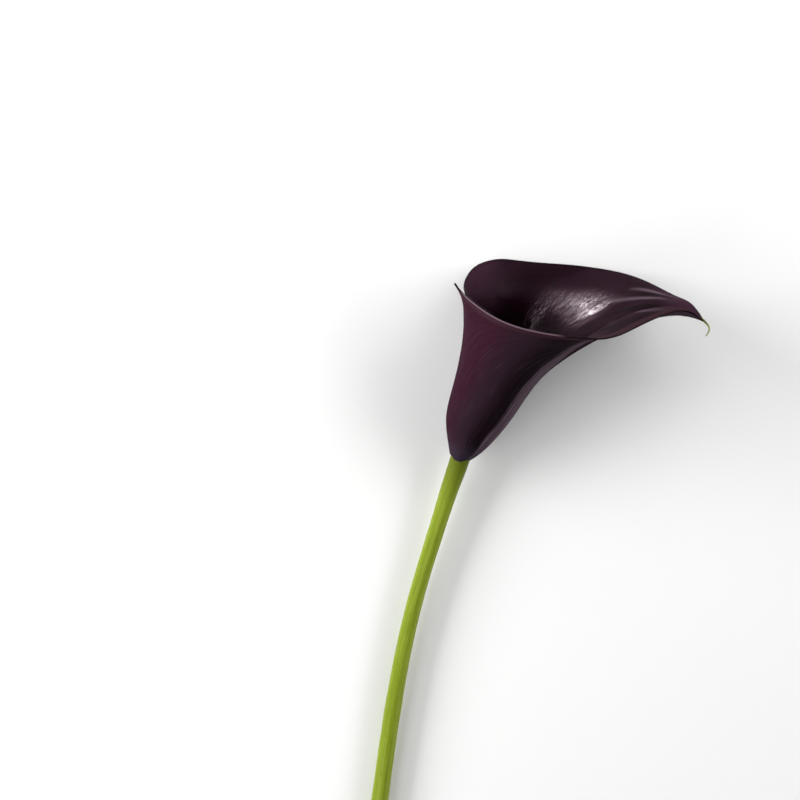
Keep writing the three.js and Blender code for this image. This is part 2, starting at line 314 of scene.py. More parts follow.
class Finish:
    """The nodes of a procedural material, or of the studio round the flower."""

    def __init__(self, owner):
        owner.use_nodes = True
        self.owner = owner
        self.tree = owner.node_tree
        self.tree.nodes.clear()

    def node(self, kind, settings, values, out=0):
        """Adds a node: its settings first, then the values or links of its sockets."""
        node = self.tree.nodes.new("ShaderNode" + kind)
        for name, setting in settings.items():
            setattr(node, name, setting)
        for key, value in values.items():
            if isinstance(value, Value):
                self.tree.links.new(value.socket, node.inputs[key])
            else:
                node.inputs[key].default_value = value
        return Value(self, node.outputs[out]) if node.outputs else None

    def number(self, label):
        """A number that the mesh carries at its points."""
        return self.node("Attribute", {"attribute_name": label}, {}, "Fac")

    def place(self, label):
        """A place in a pattern, also carried by the points."""
        return self.node("Attribute", {"attribute_name": label}, {}, "Vector")

    def stretched(self, vector, sizes):
        """The same place in steps of the given sizes, so that a pattern repeats at those sizes."""
        steps = tuple(1 / size for size in sizes)
        return self.node("VectorMath", {"operation": "MULTIPLY"}, {0: vector, 1: steps})

    def clouds(self, vector, sizes, detail=3, roughness=0.5, distortion=0.0):
        """Soft random patches about as big as sizes, between 0 and 1."""
        return self.node("TexNoise", {}, {
            "Vector": self.stretched(vector, sizes), "Scale": 1, "Detail": detail,
            "Roughness": roughness, "Distortion": distortion})

    def fade(self, value, low, high):
        """0 where value is at low, 1 where it is at high."""
        return self.node("MapRange", {"interpolation_type": "SMOOTHSTEP"}, {
            "Value": value, "From Min": low, "From Max": high})

    def mix(self, share, colour, other):
        """colour where share is 0, other where it is 1, on the Mix node's sockets for colours."""
        return self.node("Mix", {"data_type": "RGBA"}, {0: share, 6: colour, 7: other}, 2)

    def surface(self, values, height, depth):
        """Ends the finish with its shader. height is a relief between 0 and 1, depth its metres."""
        relief = {"Strength": 1, "Distance": depth, "Height": height}
        values["Normal"] = self.node("Bump", {}, relief)
        shader = self.node("BsdfPrincipled", {}, values)
        self.node("OutputMaterial", {}, {"Surface": shader})
        return self.owner


def stem_finish():
    """Waxy yellow-green skin with long pale and deep fibres, and a moist pale cut face."""
    green = (0.20, 0.265, 0.013, 1)
    pale = (0.26, 0.32, 0.033, 1)
    deep = (0.14, 0.20, 0.009, 1)
    paler_tone = (0.27, 0.33, 0.07, 1)
    shaded = (0.10, 0.125, 0.006, 1)
    pith = (0.56, 0.62, 0.30, 1)
    pores = (0.30, 0.40, 0.11, 1)
    finish = Finish(bpy.data.materials.new("fresh green stalk"))
    place = finish.place("place")
    fibres = finish.clouds(place, (0.5, 0.5, 22), detail=4, roughness=0.6)
    bands = finish.clouds(place, (1.8, 1.8, 60), detail=2)
    bloom_dust = finish.clouds(place, (1.4, 1.4, 4.5), detail=5, roughness=0.65, distortion=0.6)

    # Long pale bands and deep fibres, a waxy bloom in patches, and shade right under the flower
    skin = finish.mix(finish.fade(bands, 0.35, 0.7), green, pale)
    skin = finish.mix(finish.fade(fibres, 0.47, 0.68) * 0.85, skin, deep)
    skin = finish.mix(finish.fade(bloom_dust, 0.56, 0.72) * 0.4, skin, paler_tone)
    skin = finish.mix(finish.fade(bloom_dust, 0.46, 0.32) * 0.5, skin, deep)
    skin = finish.mix(finish.fade(finish.number("below_bloom"), 22, 1) * 0.85, skin, shaded)

    # The cut face shows pale pith with darker strands in it
    at = finish.node("TexCoord", {}, {}, "Object")
    strands = finish.node("TexVoronoi", {"feature": "F1"}, {
        "Vector": finish.stretched(at, (0.0009, 0.0009, 0.0009)), "Scale": 1}, "Distance")
    flesh = finish.mix(finish.fade(strands, 0.30, 0.16), pith, pores)
    flesh = finish.mix(finish.fade(finish.number("outward"), 0.78, 0.9), flesh, green)
    cut = finish.number("cut")
    colour = finish.mix(cut, skin, flesh)
    cells = finish.clouds(place, (0.16, 0.16, 0.7), detail=2)
    height = (fibres * 0.6 + cells * 0.25) * (1 - cut) + finish.fade(strands, 0.1, 0.4) * cut
    roughness = 0.42 + bloom_dust * 0.22 + cut * 0.1
    return finish.surface({
        "Base Color": colour, "Roughness": roughness, "Specular IOR Level": 0.25,
        "Subsurface Weight": 0.12, "Subsurface Radius": (0.6, 0.8, 0.15),
        "Subsurface Scale": 0.0012}, height, STALK_BUMP)


stem.data.materials.append(stem_finish())
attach(stem, "root")
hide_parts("stem")

# The spadix
# The blunt finger inside the funnel, crowded with tiny flowers in spirals: plump green ovaries
# round its foot, and above them small stamens dusted with pollen. It grew on the stem's neck.

SEAT_GAP = 0.3
SPADIX_LENGTH = 38
SPADIX_RADIUS = 3.5
FOOT_NARROWER_BY = 0.14
FOOT_WIDENS_UNTIL = 0.35
TAPERS_FROM = 0.45
CORE_AT_TIP = 0.35
SPADIX_AROUND = 168
SPADIX_ALONG = 300

# The florets: how far they stand out and what share of that lies within the finger's radius, how far
# apart they are, how far up the ovaries go, and the reach of a dome and of the dimple on top of it,
# in shares of the pitch. The pollen's bump is in metres.
FLORET_RISE = 0.42
FLORETS_SUNK_BY = 0.9
OVARY_PITCH = 1.25
STAMEN_PITCH = 0.82
OVARIES_UNTIL = 9.5
DOME_REACH = 0.62
DIMPLE_REACH = 0.16
DIMPLE_DEPTH = 0.25
POLLEN_BUMP = 0.00006
GOLDEN_TURN = math.pi * (3 - math.sqrt(5))


def spadix_radius(share):
    """Radius of the finger, to near the tops of its florets, at shares of its length."""
    foot = 1 - FOOT_NARROWER_BY * (1 - smooth(0, FOOT_WIDENS_UNTIL, share))
    tip = np.sqrt(np.maximum(1 - 0.985 * smooth(TAPERS_FROM, 1, share) ** 1.6, 0))
    return SPADIX_RADIUS * foot * tip


def florets(pitch, first, last):
    """Middles of florets in a spiral: length along the finger and turn round it."""
    count = int((last - first) * 2 * math.pi * SPADIX_RADIUS / pitch**2)
    number = np.arange(count)
    return first + (last - first) * (number + 0.5) / count, number * GOLDEN_TURN


def floret_relief(lengths, turn, radius, pitch, first, last):
    """Height of the domed florets, as a share, over a grid of lengths and turns."""
    nearest = np.full((len(lengths), len(turn)), np.inf)
    for middle, spot in zip(*florets(pitch, first, last)):
        rows = np.flatnonzero(abs(lengths - middle) < pitch)
        across = (turn - spot + math.pi) % (2 * math.pi) - math.pi
        across = across * np.maximum(radius[rows], 0.6)[:, None]
        gap = np.hypot(across, (lengths[rows] - middle)[:, None])
        nearest[rows] = np.minimum(nearest[rows], gap / pitch)
    dome = np.sqrt(np.maximum(1 - (nearest / DOME_REACH) ** 2, 0))
    dimple = DIMPLE_DEPTH * np.exp(-((nearest / DIMPLE_REACH) ** 2))
    return np.maximum(dome - dimple, 0)


lengths = np.linspace(0, SPADIX_LENGTH, SPADIX_ALONG)
turn = turns(SPADIX_AROUND)
radius = spadix_radius(lengths / SPADIX_LENGTH)
ovaries = floret_relief(lengths, turn, radius, OVARY_PITCH, 0, OVARIES_UNTIL)
stamens = floret_relief(lengths, turn, radius, STAMEN_PITCH, OVARIES_UNTIL, SPADIX_LENGTH)
relief = np.where(lengths[:, None] < OVARIES_UNTIL, ovaries, stamens)
core = np.maximum(radius - FLORETS_SUNK_BY * FLORET_RISE, CORE_AT_TIP * radius)
wall = core[:, None] + FLORET_RISE * relief * smooth(0, 0.5, radius)[:, None]
points = tube(stalk, neck_top + SEAT_GAP + lengths, wall, SPADIX_AROUND)
spadix = new_piece("spadix_florets", with_ends(points), tube_faces(SPADIX_ALONG, SPADIX_AROUND), {
    "dome": np.concatenate([relief.ravel(), [0, 0]]),
    "height": np.concatenate([np.repeat(lengths, SPADIX_AROUND), [0, SPADIX_LENGTH]]),
})


def spadix_finish():
    """Dusky plum florets with ochre pollen on their tops, over pale green ovaries at the foot."""
    painted_gap_shade = (0.035, 0.012, 0.014, 1)
    stamen = (0.16, 0.075, 0.06, 1)
    pollen = (0.62, 0.46, 0.22, 1)
    ovary = (0.26, 0.30, 0.11, 1)
    finish = Finish(bpy.data.materials.new("dusty spadix florets"))
    at = finish.node("TexCoord", {}, {}, "Object")
    dome = finish.number("dome")
    dust = finish.clouds(at, (0.0011, 0.0011, 0.0011), detail=6, roughness=0.7)
    grains = finish.clouds(at, (0.00012, 0.00012, 0.00012), detail=1)
    at_foot = finish.fade(finish.number("height"), OVARIES_UNTIL + 1, OVARIES_UNTIL - 1)
    body = finish.mix(at_foot, stamen, ovary)
    # The gaps between the florets are painted dark: painted shade.
    body = finish.mix(finish.fade(dome, 0.05, 0.6), painted_gap_shade, body)
    dusted = finish.fade(dust, 0.42, 0.66) * finish.fade(dome, 0.35, 0.9)
    dusted = dusted * finish.fade(grains, 0.3, 0.6)
    colour = finish.mix(dusted * 0.75, body, pollen)
    values = {"Base Color": colour, "Roughness": 0.72 + dusted * 0.2, "Specular IOR Level": 0.35}
    return finish.surface(values, grains, POLLEN_BUMP)


spadix.data.materials.append(spadix_finish())
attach(spadix, "root")
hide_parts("spadix")

# The spathe
# One waxy bract, nearly black plum, wrapped into a funnel with one margin inside the other. It grew
# round the top of the stem, which its foot clasps, and its limb runs out into a thin green tail.

# Rings of the tube from the foot up: middle, half width, half depth, lean to +X and tilt in
# degrees, and the share of the layer pitch that the wrap has there
FOOT_HEIGHT = 9.5
TUBE_RISE = 0.33
TUBE_RINGS = [
    (0.0, 0.3, 4.15, 4.15, 14, 13, 0), (2.0, 4.4, 6.4, 7.6, 20, 20, 1),
    (3.4, 11.1, 10.4, 10.8, 24, 20, 1), (10.0, 23.2, 13.0, 14.0, 27, 20, 1),
    (16.2, 39.8, 15.6, 20.0, 23, 20, 1)]
LAYER_PITCH = 1.6

# Rings of the limb: share of the way from the throat to the rim, how far the ring arches out of the
# tube, how much further towards the tail, and over how many degrees
LIMB_LEAN = 27
LIMB_TILT = 20
LIMB_RINGS = [(0.42, 2.0, 12.0, 42.0), (0.8, 1.5, 9.0, 40.0)]

# The rim: angle round the tube (0 at the tail, 90 at the table, -90 on top), x, y and height
RIM = np.array([
    (-240, 13.0, 81.3, -0.3), (-205, 0.8, 75.4, 11.8), (-183, -0.4, 68.0, 31.5),
    (-150, 4.3, 61.3, 43.5), (-115, 14.0, 54.5, 55.0), (-80, 29.0, 49.5, 60.5),
    (-50, 47.0, 47.0, 58.5), (-28, 63.0, 48.7, 50.8), (-12, 80.5, 56.5, 38.5),
    (-4, 92.9, 57.1, 30.5), (0, 96.8, 54.4, 28.0), (4, 94.4, 58.7, 26.0),
    (12, 88.1, 63.7, 20.0), (28, 74.5, 71.2, 8.8), (48, 57.5, 76.3, 1.2),
    (72, 41.5, 78.3, -1.0), (98, 25.2, 79.6, 0.8), (116, 16.0, 80.4, -1.0),
    (134, 8.2, 78.6, 2.8), (152, 3.4, 74.7, 11.0), (168, 1.0, 69.0, 21.0),
    (184, 2.1, 64.7, 31.5), (212, 6.0, 60.8, 43.2), (242, 14.6, 54.3, 51.0)])

# Angles of the two margins at the foot and at the rim, and the share from which they turn. At the rim
# the outer margin flicks away from the flower, over a few degrees.
OUTER_MARGIN = (-253, -183)
INNER_MARGIN = (104, 242)
MARGINS_TURN_FROM = 0.08
FLICK = np.array([-2.6, 1.6, -1.0])
FLICK_WIDTH = 9

# The sheet's thickness at the foot, at the rim and right at its margins, and the grid over it, finest
# over the crumpled part of the limb
SHEET_AT_FOOT = 1.3
SHEET_AT_RIM = 0.95
SHEET_AT_MARGIN = 0.7
MARGIN_THINS_OVER = 5.0
SHEET_COLUMNS = 500
SHEET_ROWS = 80
ROWS_ON_TUBE = 0.55
ROWS_ON_LIMB = 1.8
LIMB_FROM = 0.68
LIMB_EASES_IN = 0.08
FOOT_FLARES_BY = 0.08
FINE_FROM = -20
FINE_UNTIL = 95
FINE_EASES_IN = 15
FINENESS = 2.1
FINE_STEPS = 4000
EDGE_STEPS = 5
STEP_BELOW_RIM = 0.002

# The foot's lower edge lies on the stem in shallow lobes: angle, reach and half width of each
SKIRT_REACH = 0.1
SKIRT_LOBES = [(-105, 1.6, 36), (20, 0.1, 30), (78, 0.9, 34), (150, 0.4, 28)]
SKIRT_ROWS = 6
SKIRT_THINS_BY = 0.45
SKIRT_CLEARANCE = 0.03
SKIRT_MEETS_STEM = (0.25, 0.55)

# Creases of the limb: each runs through a few points, given by their angle and their share of the way
# to the rim. Then come its half width, its depth and how round its bottom is, from 1 for a sharp one.
# The side towards the light shines and the other side stays dark.
LIMB_CREASES = [
    ([(30, 0.70), (24.5, 0.78), (19, 0.87), (11, 0.93)], 1.5, 0.42, 1),
    ([(32, 0.825), (24, 0.895), (15.5, 0.95), (6, 0.978)], 0.8, 0.32, 1),
    ([(20, 0.72), (17.5, 0.80), (11, 0.875), (3.5, 0.96)], 1.3, 0.38, 1),
    ([(34, 0.695), (21, 0.72), (10, 0.75), (0, 0.78)], 1.9, 0.18, 2),
    ([(-12, 0.80), (-19, 0.88), (-18, 0.95), (-9, 0.98)], 1.6, 0.2, 2),
    ([(42, 0.725), (39, 0.77), (33, 0.80)], 0.7, 0.34, 1),
    ([(64, 0.773), (61, 0.81), (59.7, 0.847)], 0.5, 0.2, 1),
    ([(55, 0.783), (52, 0.83), (51, 0.883)], 0.5, 0.22, 1)]
CREASED_ANGLES = (-40, 75)
CREASED_FROM = 0.6
PATH_STEPS = 120
PATH_ENDS_SOFT = 0.6

# Streaks on the limb in the same terms, with half width and strength: the ridges are painted pale as
# a painted sheen, and the troughs, below zero here, are painted black as painted shade
PAINTED_SHEEN_STREAKS = [
    ([(27, 0.83), (16, 0.89), (5, 0.945)], 1.3, 0.6),
    ([(26, 0.91), (18.5, 0.945), (6, 0.965)], 1.1, 0.6),
    ([(9, 0.767), (-10, 0.88), (-9, 0.98)], 1.8, 0.5),
    ([(15, 0.78), (7, 0.86), (-5, 0.955)], 1.8, -0.8),
    ([(23, 0.885), (16, 0.925), (7, 0.945)], 0.9, -0.8),
    ([(-14, 0.78), (-23, 0.88), (-14, 0.98)], 1.8, -0.8)]

# The veins all bend in to the tail. Fine ribs follow them on the outer face, and fine wrinkles fan
# out on the inner one, deepest round one middle, given by its angle and share.
VEIN_CURVE = 9
VEIN_SPREAD = 47.0
RIB_PITCH = 1.45
BROAD_RIB_RUN = 60
FINE_RIBS_CLOSER_BY = 2.1
FINE_RIB_RUN = 35
FINE_RIB_PART = 0.4
OUTER_RIB = 0.09
RIBS_FADE_OVER = 4
RIBS_FAINT_BY = (110, 40)
FAN_SPREAD = 0.43
WRINKLE_PITCH = 0.95
WRINKLE_RUN = 6.0
WRINKLE_DEPTH = 0.15
WRINKLES_MIDDLE = (52, 0.82)
WRINKLES_REACH = (26, 0.11)
WRINKLES_BEND_EVERY = 4
WRINKLES_BEND_BY = 0.7
WRINKLE_SHARPNESS = 5

# The grain of the two faces comes from places this far apart, and what has no edge near it counts as
# this far from one
FACES_APART = 40.0
FAR_FROM_EDGE = 3


def ring_directions(lean, tilt):
    """Unit vectors of a ring: to its right, to the table and out of the tube."""
    rise = math.radians(tilt)
    turn = math.radians(lean)
    down = np.array([0, math.sin(rise), -math.cos(rise)])
    along = math.cos(turn)
    out = np.array([math.sin(turn), along * math.cos(rise), along * math.sin(rise)])
    return np.cross(down, out), down, out


def ring_weights(share, rings):
    """How strongly each ring draws the sheet, as the points of a clamped cubic B-spline do."""
    spans = rings - 3
    knots = np.concatenate([[0] * 3, np.arange(spans + 1), [spans] * 3])
    at = np.clip(np.asarray(share) * spans, 0, spans - 1e-9)[..., None]
    weights = ((knots[:-1] <= at) & (at < knots[1:])).astype(float)
    for degree in (1, 2, 3):
        first = knots[:-degree - 1]
        last = knots[degree + 1:]
        rising = (at - first) / np.maximum(knots[degree:-1] - first, 1e-9)
        falling = (last - at) / np.maximum(last - knots[1:-degree], 1e-9)
        weights = weights[..., :-1] * rising + weights[..., 1:] * falling
    return weights


def rim_at(angle):
    """Points of the rim at angles round the tube."""
    return spline(RIM[:, 0], RIM[:, 1:], np.asarray(angle, float))


def sheet_point(angle, share):
    """Middle of the sheet at an angle round the tube and a share of the way to the rim."""
    around = np.radians(angle)[..., None]
    rings = []
    for x, y, wide, deep, lean, tilt, wrap in TUBE_RINGS:
        right, down, _ = ring_directions(lean, tilt)
        wound = -LAYER_PITCH * wrap * angle[..., None] / 360
        to_right = (wide + wound) * np.cos(around) * right
        to_table = (deep + wound) * np.sin(around) * down
        rings.append(np.array([x, y, FOOT_HEIGHT + TUBE_RISE * y]) + to_right + to_table)
    throat = rings[-1]
    edge = rim_at(angle)
    out = ring_directions(LIMB_LEAN, LIMB_TILT)[2]
    for way, rise, more, fade in LIMB_RINGS:
        arch = rise + more * np.exp(-((angle[..., None] / fade) ** 2))
        rings.append(throat + way * (edge - throat) + arch * out)
    from_margin = (angle[..., None] - OUTER_MARGIN[1]) / FLICK_WIDTH
    rings.append(edge + np.exp(-(from_margin**2)) * FLICK)
    weights = ring_weights(share, len(rings))
    return sum(weights[..., k, None] * ring for k, ring in enumerate(rings))


def column_angle(at_rim, share):
    """Angle, at a share of the way to the rim, of the column that meets the rim at an angle."""
    spread = smooth(MARGINS_TURN_FROM, 1, share)
    outer = OUTER_MARGIN[0] + (OUTER_MARGIN[1] - OUTER_MARGIN[0]) * spread
    inner = INNER_MARGIN[0] + (INNER_MARGIN[1] - INNER_MARGIN[0]) * spread
    return np.where(at_rim < 0, at_rim * outer / OUTER_MARGIN[1], at_rim * inner / INNER_MARGIN[1])


def outward(angle, share):
    """Unit vectors out of the sheet's outer face."""
    small = 1e-3
    along = sheet_point(angle + 0.5, share) - sheet_point(angle - 0.5, share)
    further = sheet_point(angle, np.minimum(share + small, 1))
    nearer = sheet_point(angle, np.maximum(share - small, 0))
    return unit(np.cross(along, further - nearer))


# Columns along the rim, closer over the crumpled limb, and closest where a margin is rounded
edge_steps = SHEET_AT_MARGIN / 2 * (1 - np.cos(np.linspace(0, math.pi / 2, EDGE_STEPS)))
rounded = edge_steps[-1]
rim_angles = np.linspace(OUTER_MARGIN[1], INNER_MARGIN[1], FINE_STEPS)
rim_lengths = running_sum(np.linalg.norm(np.diff(rim_at(rim_angles), axis=0), axis=1))
crowding = (FINENESS - 1) * smooth(FINE_FROM - FINE_EASES_IN, FINE_FROM, rim_angles)
crowding = 1 + crowding * smooth(FINE_UNTIL + FINE_EASES_IN, FINE_UNTIL, rim_angles)
crowd = running_sum(np.diff(rim_lengths) * crowding[1:])
even = np.interp(np.linspace(0, crowd[-1], SHEET_COLUMNS + 1), crowd, rim_lengths)
even = rounded + even * (1 - 2 * rounded / rim_lengths[-1])
stops = np.concatenate([edge_steps[:-1], even, rim_lengths[-1] - edge_steps[-2::-1]])
at_rim = np.interp(stops, rim_lengths, rim_angles)[:, None]

# Rows from the foot to the rim in the same way. The pace is how long a column would be if all of it
# were as stretched as it is at the rim.
ones = np.ones_like(at_rim)
below_rim = ones * (1 - STEP_BELOW_RIM)
last_step = sheet_point(at_rim, ones) - sheet_point(column_angle(at_rim, below_rim), below_rim)
pace = np.linalg.norm(last_step, axis=-1) / STEP_BELOW_RIM
shares = np.linspace(0, 1, FINE_STEPS)
crowding = (ROWS_ON_LIMB - ROWS_ON_TUBE) * smooth(LIMB_FROM - LIMB_EASES_IN, LIMB_FROM, shares)
crowding = ROWS_ON_TUBE + crowding + np.exp(-((shares / FOOT_FLARES_BY) ** 2))
crowd = running_sum(np.diff(shares) * crowding[1:])
even = np.interp(np.linspace(0, crowd[-1], SHEET_ROWS + 1), crowd, shares) * (1 - rounded / pace)
share = np.concatenate([even, 1 - edge_steps[-2::-1] / pace], axis=1)
angle = column_angle(at_rim, share)
middle = sheet_point(angle, share)
normal = outward(angle, share)

# The skirt goes on from the foot's ring, down along the stem, and thins to an edge that lies on it
down_stem = -stalk.frame(np.array([shoulder]))[0][0]
foot_angle = angle[:, :1]
foot_x, foot_y, foot_radius = TUBE_RINGS[0][:3]
foot_middle = np.array([foot_x, foot_y, FOOT_HEIGHT + TUBE_RISE * foot_y])
drop = 1 - np.linspace(0, 1, SKIRT_ROWS, endpoint=False) ** 2
reach = SKIRT_REACH + sum(
    far * np.exp(-((((foot_angle - place + 180) % 360 - 180) / wide) ** 4))
    for place, far, wide in SKIRT_LOBES)
fallen = reach * drop
across = unit(middle[:, :1] - foot_middle)
on_stem = smooth(*SKIRT_MEETS_STEM, fallen)
skirt_inside = foot_radius - SHEET_AT_FOOT / 2
skirt_inside = skirt_inside + (RADII_ABOVE[-1][1] + SKIRT_CLEARANCE - skirt_inside) * on_stem
skirt_outside = foot_radius + SHEET_AT_FOOT / 2 * (1 - SKIRT_THINS_BY * drop**2)
skirt_half = (skirt_outside - skirt_inside) / 2
skirt_middle = (foot_middle + down_stem * fallen[..., None]
                + across * ((skirt_outside + skirt_inside) / 2)[..., None])
skirt_normal = unit(normal[:, :1] * (1 - drop)[:, None] + across * drop[:, None])
skirt_round = np.broadcast_to(np.sqrt(1 - drop**6), skirt_half.shape)


def lengths_from(points, axis):
    """Length from the first row or column of a grid of points, along one of its axes."""
    steps = np.linalg.norm(np.diff(points, axis=axis), axis=-1)
    sums = np.cumsum(steps, axis=axis)
    start = np.zeros_like(np.take(sums, [0], axis=axis))
    return np.concatenate([start, sums], axis=axis)


from_side = lengths_from(middle, 0)
to_side = from_side[-1:] - from_side
from_foot = lengths_from(middle, 1)
to_rim = from_foot[:, -1:] - from_foot
to_edge = np.minimum(np.minimum(from_side, to_side), to_rim)

# Half the sheet's thickness, which thins towards the margins and ends in a rounded edge
half = (SHEET_AT_FOOT + (SHEET_AT_RIM - SHEET_AT_FOOT) * share) / 2
thinning = smooth(MARGIN_THINS_OVER, 0, to_edge)
half = half + (SHEET_AT_MARGIN / 2 - half) * thinning
rounding = np.sqrt(np.maximum(1 - (1 - np.minimum(to_edge / half, 1)) ** 2, 0))

# Where each point lies across and along the veins, which all run on to the tail
to_outer = angle / column_angle(OUTER_MARGIN[1] * ones, share)
to_inner = angle / column_angle(INNER_MARGIN[1] * ones, share)
widest = np.where(angle < 0, to_outer, to_inner)
vein = np.sign(angle) * np.maximum(abs(widest), 1e-6) ** (1 - share**VEIN_CURVE)
across_veins = VEIN_SPREAD * vein


def near_path(rows, wide, softness):
    """1 along a path over the sheet and less beside it, and none at its ends."""
    rows = np.array(rows)
    knots = np.arange(len(rows), dtype=float)
    path = spline(knots, rows, np.linspace(0, knots[-1], PATH_STEPS))
    line = sheet_point(path[:, 0], path[:, 1])
    ends = np.sin(np.linspace(0, math.pi, len(line))) ** PATH_ENDS_SOFT
    first, last = CREASED_ANGLES
    on_limb = (angle > first) & (angle < last) & (share > CREASED_FROM)
    gaps = np.linalg.norm(middle[on_limb][:, None] - line, axis=-1)
    nearness = np.zeros_like(share)
    nearness[on_limb] = ends[gaps.argmin(axis=1)] * np.exp(-(gaps.min(axis=1) / wide) ** softness)
    return nearness


creases = sum(deep * near_path(rows, wide, soft) for rows, wide, deep, soft in LIMB_CREASES)
painted_sheen_and_shade = sum(strength * near_path(rows, wide, 2) for rows, wide, strength in PAINTED_SHEEN_STREAKS)

# Broad and fine ribs along the veins, strongest towards the tail's side
rib_place = across_veins / RIB_PITCH
broad = uneven(rib_place, from_foot / BROAD_RIB_RUN, seed=21)
fine = uneven(rib_place * FINE_RIBS_CLOSER_BY, from_foot / FINE_RIB_RUN, seed=22)
ribs = broad * (1 - FINE_RIB_PART) + fine * FINE_RIB_PART
ribs *= OUTER_RIB * smooth(0, RIBS_FADE_OVER, to_edge) * (0.5 + smooth(*RIBS_FAINT_BY, abs(angle)))

# Fine wrinkles fan out from the throat to the far rim, with sharp bottoms
fan = FAN_SPREAD * angle
bend = uneven(fan / WRINKLES_BEND_EVERY, from_foot / WRINKLES_BEND_EVERY, seed=23)
folds = uneven(fan / WRINKLE_PITCH + bend * WRINKLES_BEND_BY, from_foot / WRINKLE_RUN, seed=24)
across_fan = (angle - WRINKLES_MIDDLE[0]) / WRINKLES_REACH[0]
along_fan = (share - WRINKLES_MIDDLE[1]) / WRINKLES_REACH[1]
crumpled = np.exp(-(across_fan**2) - along_fan**2)
wrinkles = -WRINKLE_DEPTH * np.exp(-WRINKLE_SHARPNESS * abs(folds)) * crumpled

outer_face = middle + normal * (half * rounding + ribs * rounding + creases)[..., None]
inner_face = middle - normal * (half * rounding + wrinkles * rounding - creases)[..., None]
skirt_outer = skirt_middle + skirt_normal * (skirt_half * skirt_round)[..., None]
skirt_inner = skirt_middle - skirt_normal * (skirt_half * skirt_round)[..., None]
outer_face = np.concatenate([skirt_outer, outer_face], axis=1)
inner_face = np.concatenate([skirt_inner, inner_face], axis=1)

# Where the sheet would dip into the table it bends up and lies flat on it
lowest = np.minimum(outer_face[..., 2], inner_face[..., 2])
lift = np.maximum(-lowest, 0)
outer_face[..., 2] += lift
inner_face[..., 2] += lift

# The two faces share their points along every edge
columns, rows = outer_face.shape[:2]
outer_index = np.arange(columns * rows).reshape(columns, rows)
inner_index = outer_index + columns * rows
for edge in (np.s_[0], np.s_[-1], np.s_[:, 0], np.s_[:, -1]):
    inner_index[edge] = outer_index[edge]


def grid_faces(index, flipped):
    """Four-sided faces of a grid of point numbers."""
    corners = [index[:-1, :-1], index[1:, :-1], index[1:, 1:], index[:-1, 1:]]
    return np.stack(corners[::-1] if flipped else corners, -1).reshape(-1, 4)


faces = np.concatenate([grid_faces(outer_index, False), grid_faces(inner_index, True)])
used, faces = np.unique(faces, return_inverse=True)
faces = faces.reshape(-1, 4)


def both_faces(outer_values, inner_values):
    """Values of the points of the two faces, without the points that the faces share."""
    shape = (-1,) + np.shape(outer_values)[2:]
    return np.concatenate([outer_values.reshape(shape), inner_values.reshape(shape)])[used]


def with_skirt(values, on_skirt=None):
    """Values over the sheet's grid, after those of the skirt, which are the foot's if not given."""
    on_skirt = values[:, :1] if on_skirt is None else on_skirt
    return np.concatenate([np.broadcast_to(on_skirt, skirt_half.shape), values], axis=1)


grain_across = with_skirt(across_veins)
grain_along = with_skirt(from_foot, -(reach * drop))
outer_grain = np.stack([grain_across, grain_along, np.zeros_like(grain_across)], -1)
inner_grain = outer_grain + np.array([0, 0, FACES_APART])
edge_all = with_skirt(to_edge, np.minimum(from_side, to_side)[:, :1] + FAR_FROM_EDGE)
side_all = with_skirt(np.sign(angle) * widest)
on_inner = {
    "fan": with_skirt(fan), "crumpled": with_skirt(crumpled), "painted_sheen_and_shade": with_skirt(painted_sheen_and_shade),
    "share": with_skirt(share, 0)}
on_outer = {label: 0 * values for label, values in on_inner.items()}
on_outer["fan"] = on_inner["fan"]
sheet_points = both_faces(outer_face, inner_face)

# The tail is a thread that tapers and hooks over, with its root inside the tip of the limb
TAIL_LINE = np.array([
    (91.6, 57.0, 28.6), (95.0, 55.9, 28.3), (97.6, 53.9, 27.6), (99.2, 51.7, 26.4),
    (98.9, 49.8, 25.2), (97.9, 48.4, 24.4)])
TAIL_RADIUS_START = 0.62
TAIL_RADIUS_END = 0.26
TAIL_AROUND = 16
TAIL_ALONG = 48
TAIL_ROOT_SHARE = 0.4
TAIL_GRAIN_RUN = 14
TAIL_TIP = (0.93, 1.01)

tail = Line(TAIL_LINE)
tail_lengths = np.linspace(0, tail.whole, TAIL_ALONG)
tail_share = tail_lengths / tail.whole
tail_radius = TAIL_RADIUS_START + (TAIL_RADIUS_END - TAIL_RADIUS_START) * tail_share
tail_radius *= np.sqrt(np.maximum(1 - smooth(*TAIL_TIP, tail_share), 0.02))
tail_radius[0] *= TAIL_ROOT_SHARE
tail_points = tube(tail, tail_lengths, tail_radius, TAIL_AROUND).reshape(-1, 3)
first_ring = len(sheet_points) + np.arange(TAIL_AROUND)
last_ring = first_ring + (TAIL_ALONG - 1) * TAIL_AROUND
tail_faces = ring_faces(TAIL_ALONG, TAIL_AROUND, len(sheet_points)).tolist()
tail_faces += [first_ring[::-1].tolist(), last_ring.tolist()]
on_tail = np.repeat(tail_share, TAIL_AROUND)
none = np.zeros_like(on_tail)
tail_grain = np.stack([none, on_tail * TAIL_GRAIN_RUN, none], -1)


def with_tail(outer_values, inner_values, tail_values):
    """Values of the points of the sheet's two faces, then those of the tail."""
    return np.concatenate([both_faces(outer_values, inner_values), tail_values])


spathe_values = {
    label: with_tail(on_outer[label], values, none) for label, values in on_inner.items()}
spathe_values["grain"] = with_tail(outer_grain, inner_grain, tail_grain)
spathe_values["edge"] = with_tail(edge_all, edge_all, none + FAR_FROM_EDGE)
spathe_values["side"] = with_tail(side_all, side_all, none)
spathe_values["tail"] = np.concatenate([np.zeros(len(sheet_points)), on_tail])
spathe_points = np.concatenate([sheet_points, tail_points])
spathe = new_piece("spathe_sheet", spathe_points, faces.tolist() + tail_faces, spathe_values)

